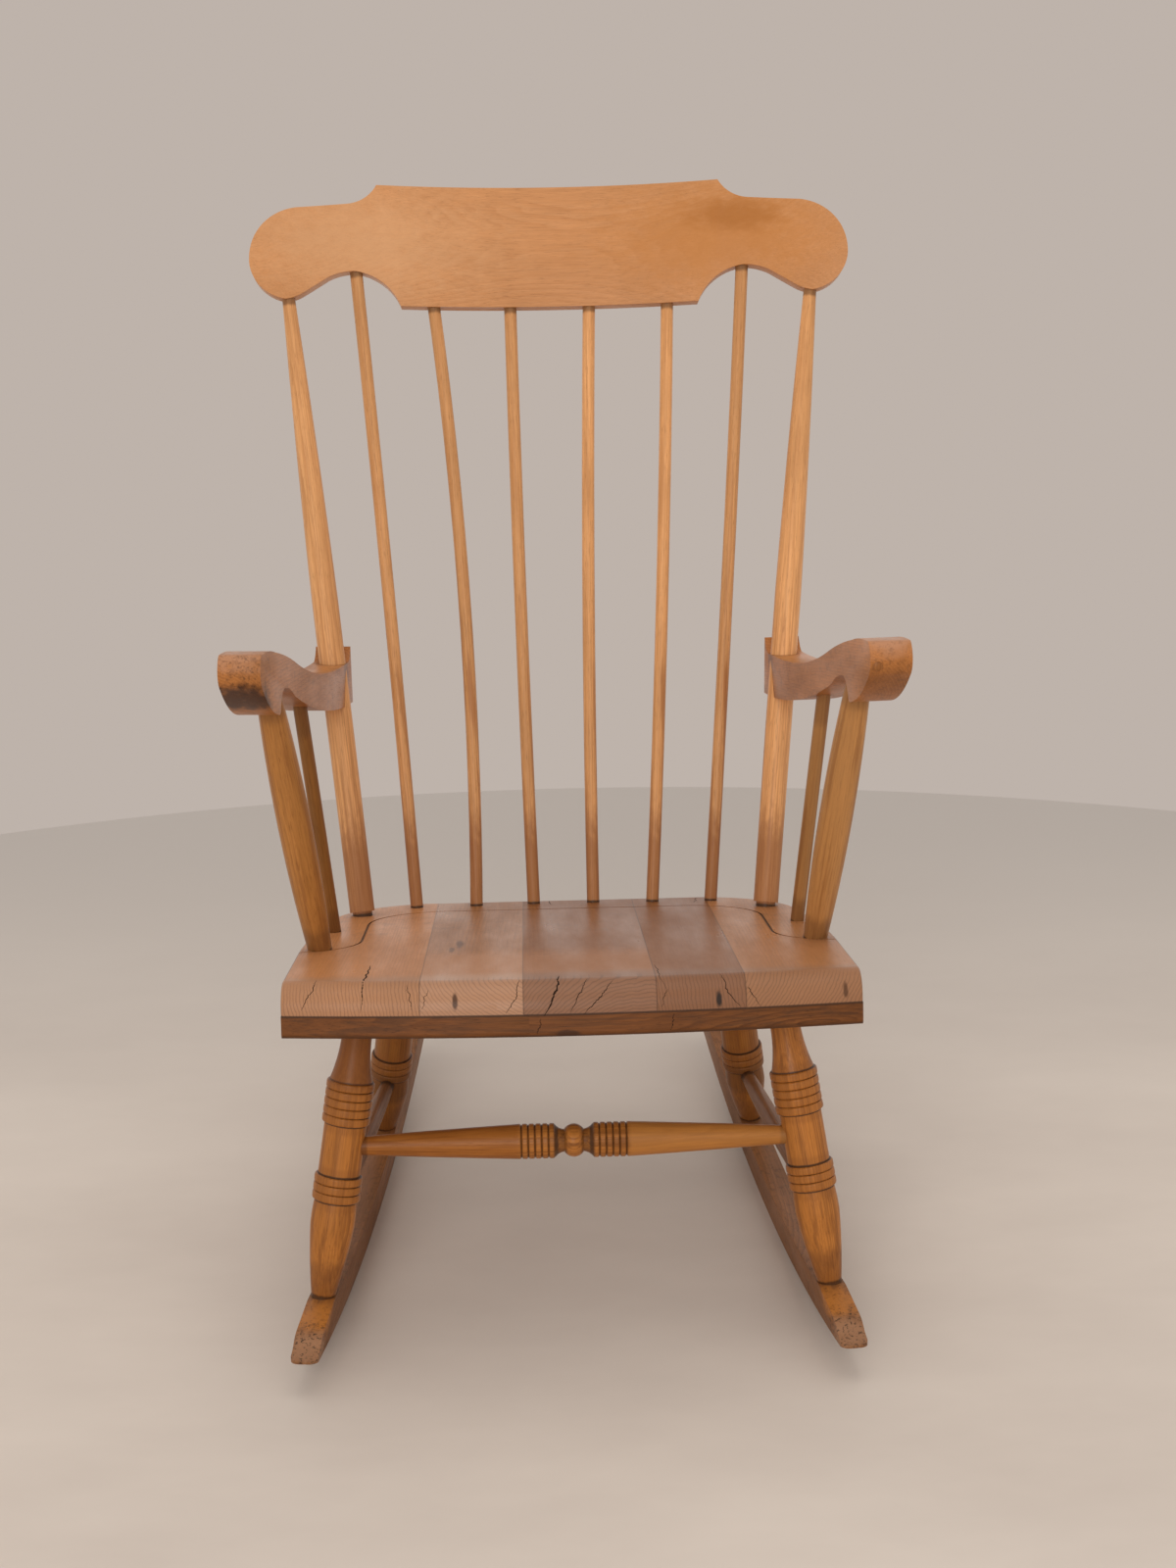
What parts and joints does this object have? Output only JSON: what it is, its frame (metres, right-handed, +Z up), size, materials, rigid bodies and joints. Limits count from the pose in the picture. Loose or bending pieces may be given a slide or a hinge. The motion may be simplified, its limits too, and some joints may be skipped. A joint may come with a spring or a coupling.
{
  "type": "boston rocking chair",
  "caption": "Wooden rocking chair with scrolled arms, a shaped crest rail on slim back spindles, a sloping stave seat, ringed turned legs and curved rockers.",
  "frame": {"origin": "on the floor under the middle of the chair's width and length", "axes": "+Z up, +Y to the chair's back, +X to the right as seen from the front"},
  "size_m": [0.648, 0.7877, 1.0525],
  "materials": {
    "crest_wood": "satin",
    "spindle_wood": "satin",
    "arm_wood": "satin",
    "turned_wood": "satin",
    "seat_wood": "satin",
    "rocker_wood": "satin"
  },
  "bodies": {
    "root": {"crest_rail": "crest_wood", "back_post_left": "spindle_wood", "back_post_right": "spindle_wood", "spindle_1": "spindle_wood", "spindle_2": "spindle_wood", "spindle_3": "spindle_wood", "spindle_4": "spindle_wood", "spindle_5": "spindle_wood", "spindle_6": "spindle_wood", "arm_left": "arm_wood", "arm_right": "arm_wood", "arm_plug": "arm_wood", "arm_support_left": "turned_wood", "arm_support_right": "turned_wood", "arm_spindle_left": "turned_wood", "arm_spindle_right": "turned_wood", "seat_stave_1": "seat_wood", "seat_stave_2": "seat_wood", "seat_stave_3": "seat_wood", "seat_stave_4": "seat_wood", "seat_stave_5": "seat_wood", "front_block_1": "seat_wood", "front_block_2": "seat_wood", "front_block_3": "seat_wood", "front_leg_left": "turned_wood", "front_leg_right": "turned_wood", "rear_leg_left": "turned_wood", "rear_leg_right": "turned_wood", "front_stretcher": "turned_wood", "side_stretcher_left": "turned_wood", "side_stretcher_right": "turned_wood", "rocker_left": "rocker_wood", "rocker_right": "rocker_wood"}
  },
  "joints": []
}
